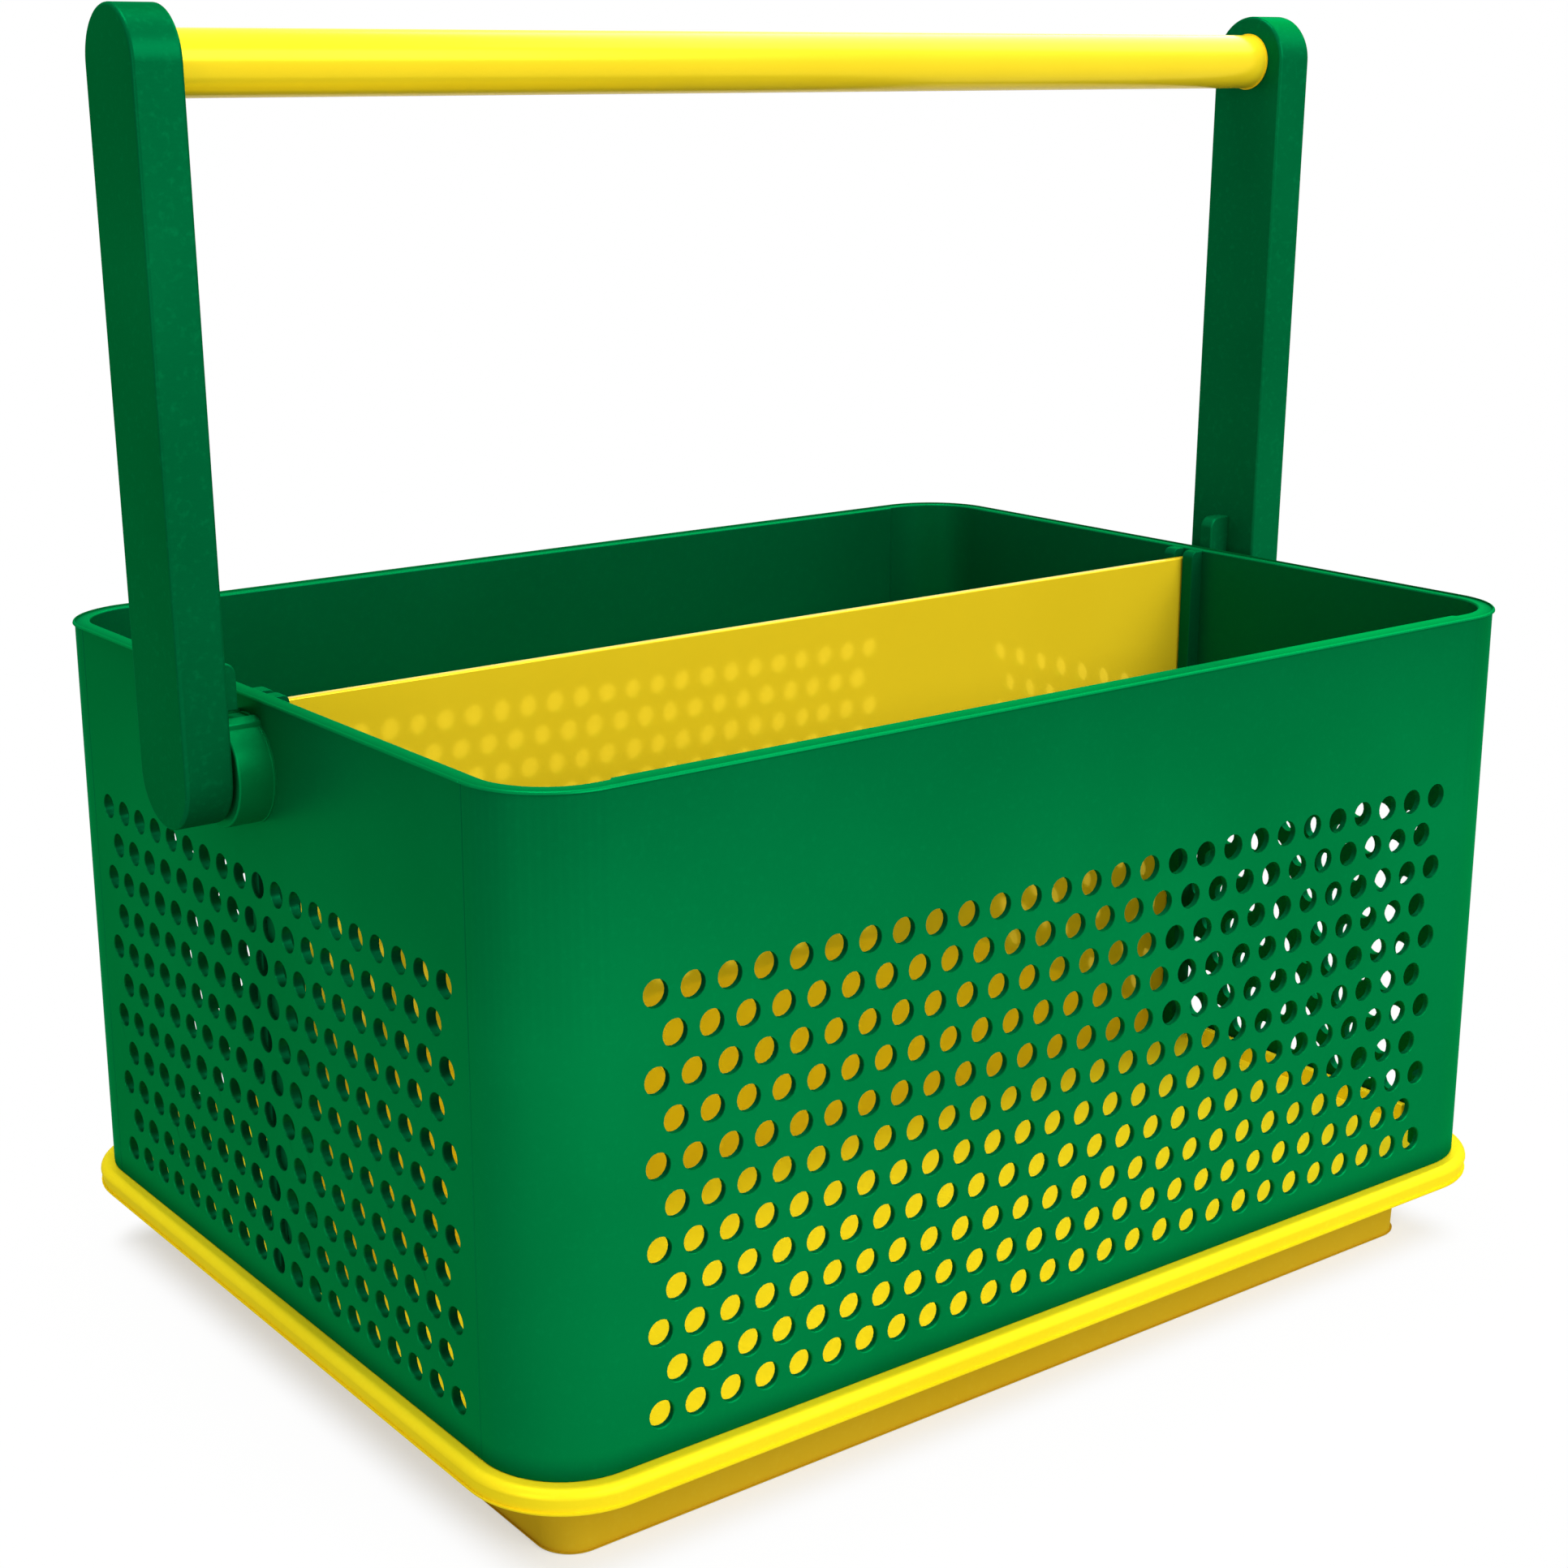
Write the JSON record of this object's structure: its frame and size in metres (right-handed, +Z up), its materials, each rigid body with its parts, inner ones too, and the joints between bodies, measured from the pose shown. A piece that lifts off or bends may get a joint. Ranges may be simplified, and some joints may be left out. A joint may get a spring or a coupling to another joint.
{
  "type": "cleaning caddy",
  "caption": "Perforated carrying caddy with a divider, a flanged base on a plinth and a swinging handle with a round grip.",
  "frame": {"origin": "centre of the footprint, on the surface that the plinth stands on", "axes": "+X to the right along the long front wall, +Y from the front wall to the back wall, +Z up"},
  "size_m": [0.3464, 0.2366, 0.3207],
  "materials": {
    "green_plastic": "satin moulded",
    "yellow_plastic": "satin moulded",
    "yellow_sheet": "glossy sheet",
    "yellow_tube": "glossy tube",
    "steel": "zinc plated",
    "brass": "turned",
    "nylon": "black nylon"
  },
  "bodies": {
    "carrier": {"tub": "green_plastic", "base": "yellow_plastic", "base_screws": "steel", "pivot_bush_left": "nylon", "pivot_bush_right": "nylon"},
    "handle": {"handle_arm_left": "green_plastic", "handle_arm_right": "green_plastic", "grip_tube": "yellow_tube", "pivot_screw_left": "steel", "pivot_screw_right": "steel", "head_washer_left": "steel", "head_washer_right": "steel", "thread_insert_left": "brass", "thread_insert_right": "brass"},
    "partition": {"divider": "yellow_sheet"}
  },
  "joints": [
    {"name": "handle_swing", "type": "hinge", "parent": "carrier", "child": "handle", "pos_m": [0, 0, 0.158], "axis": [1, 0, 0], "range_deg": [-125, 125]},
    {"name": "divider_lift", "type": "slide", "parent": "carrier", "child": "partition", "axis": [0, 0, 1], "range_m": [0, 0.125]}
  ]
}
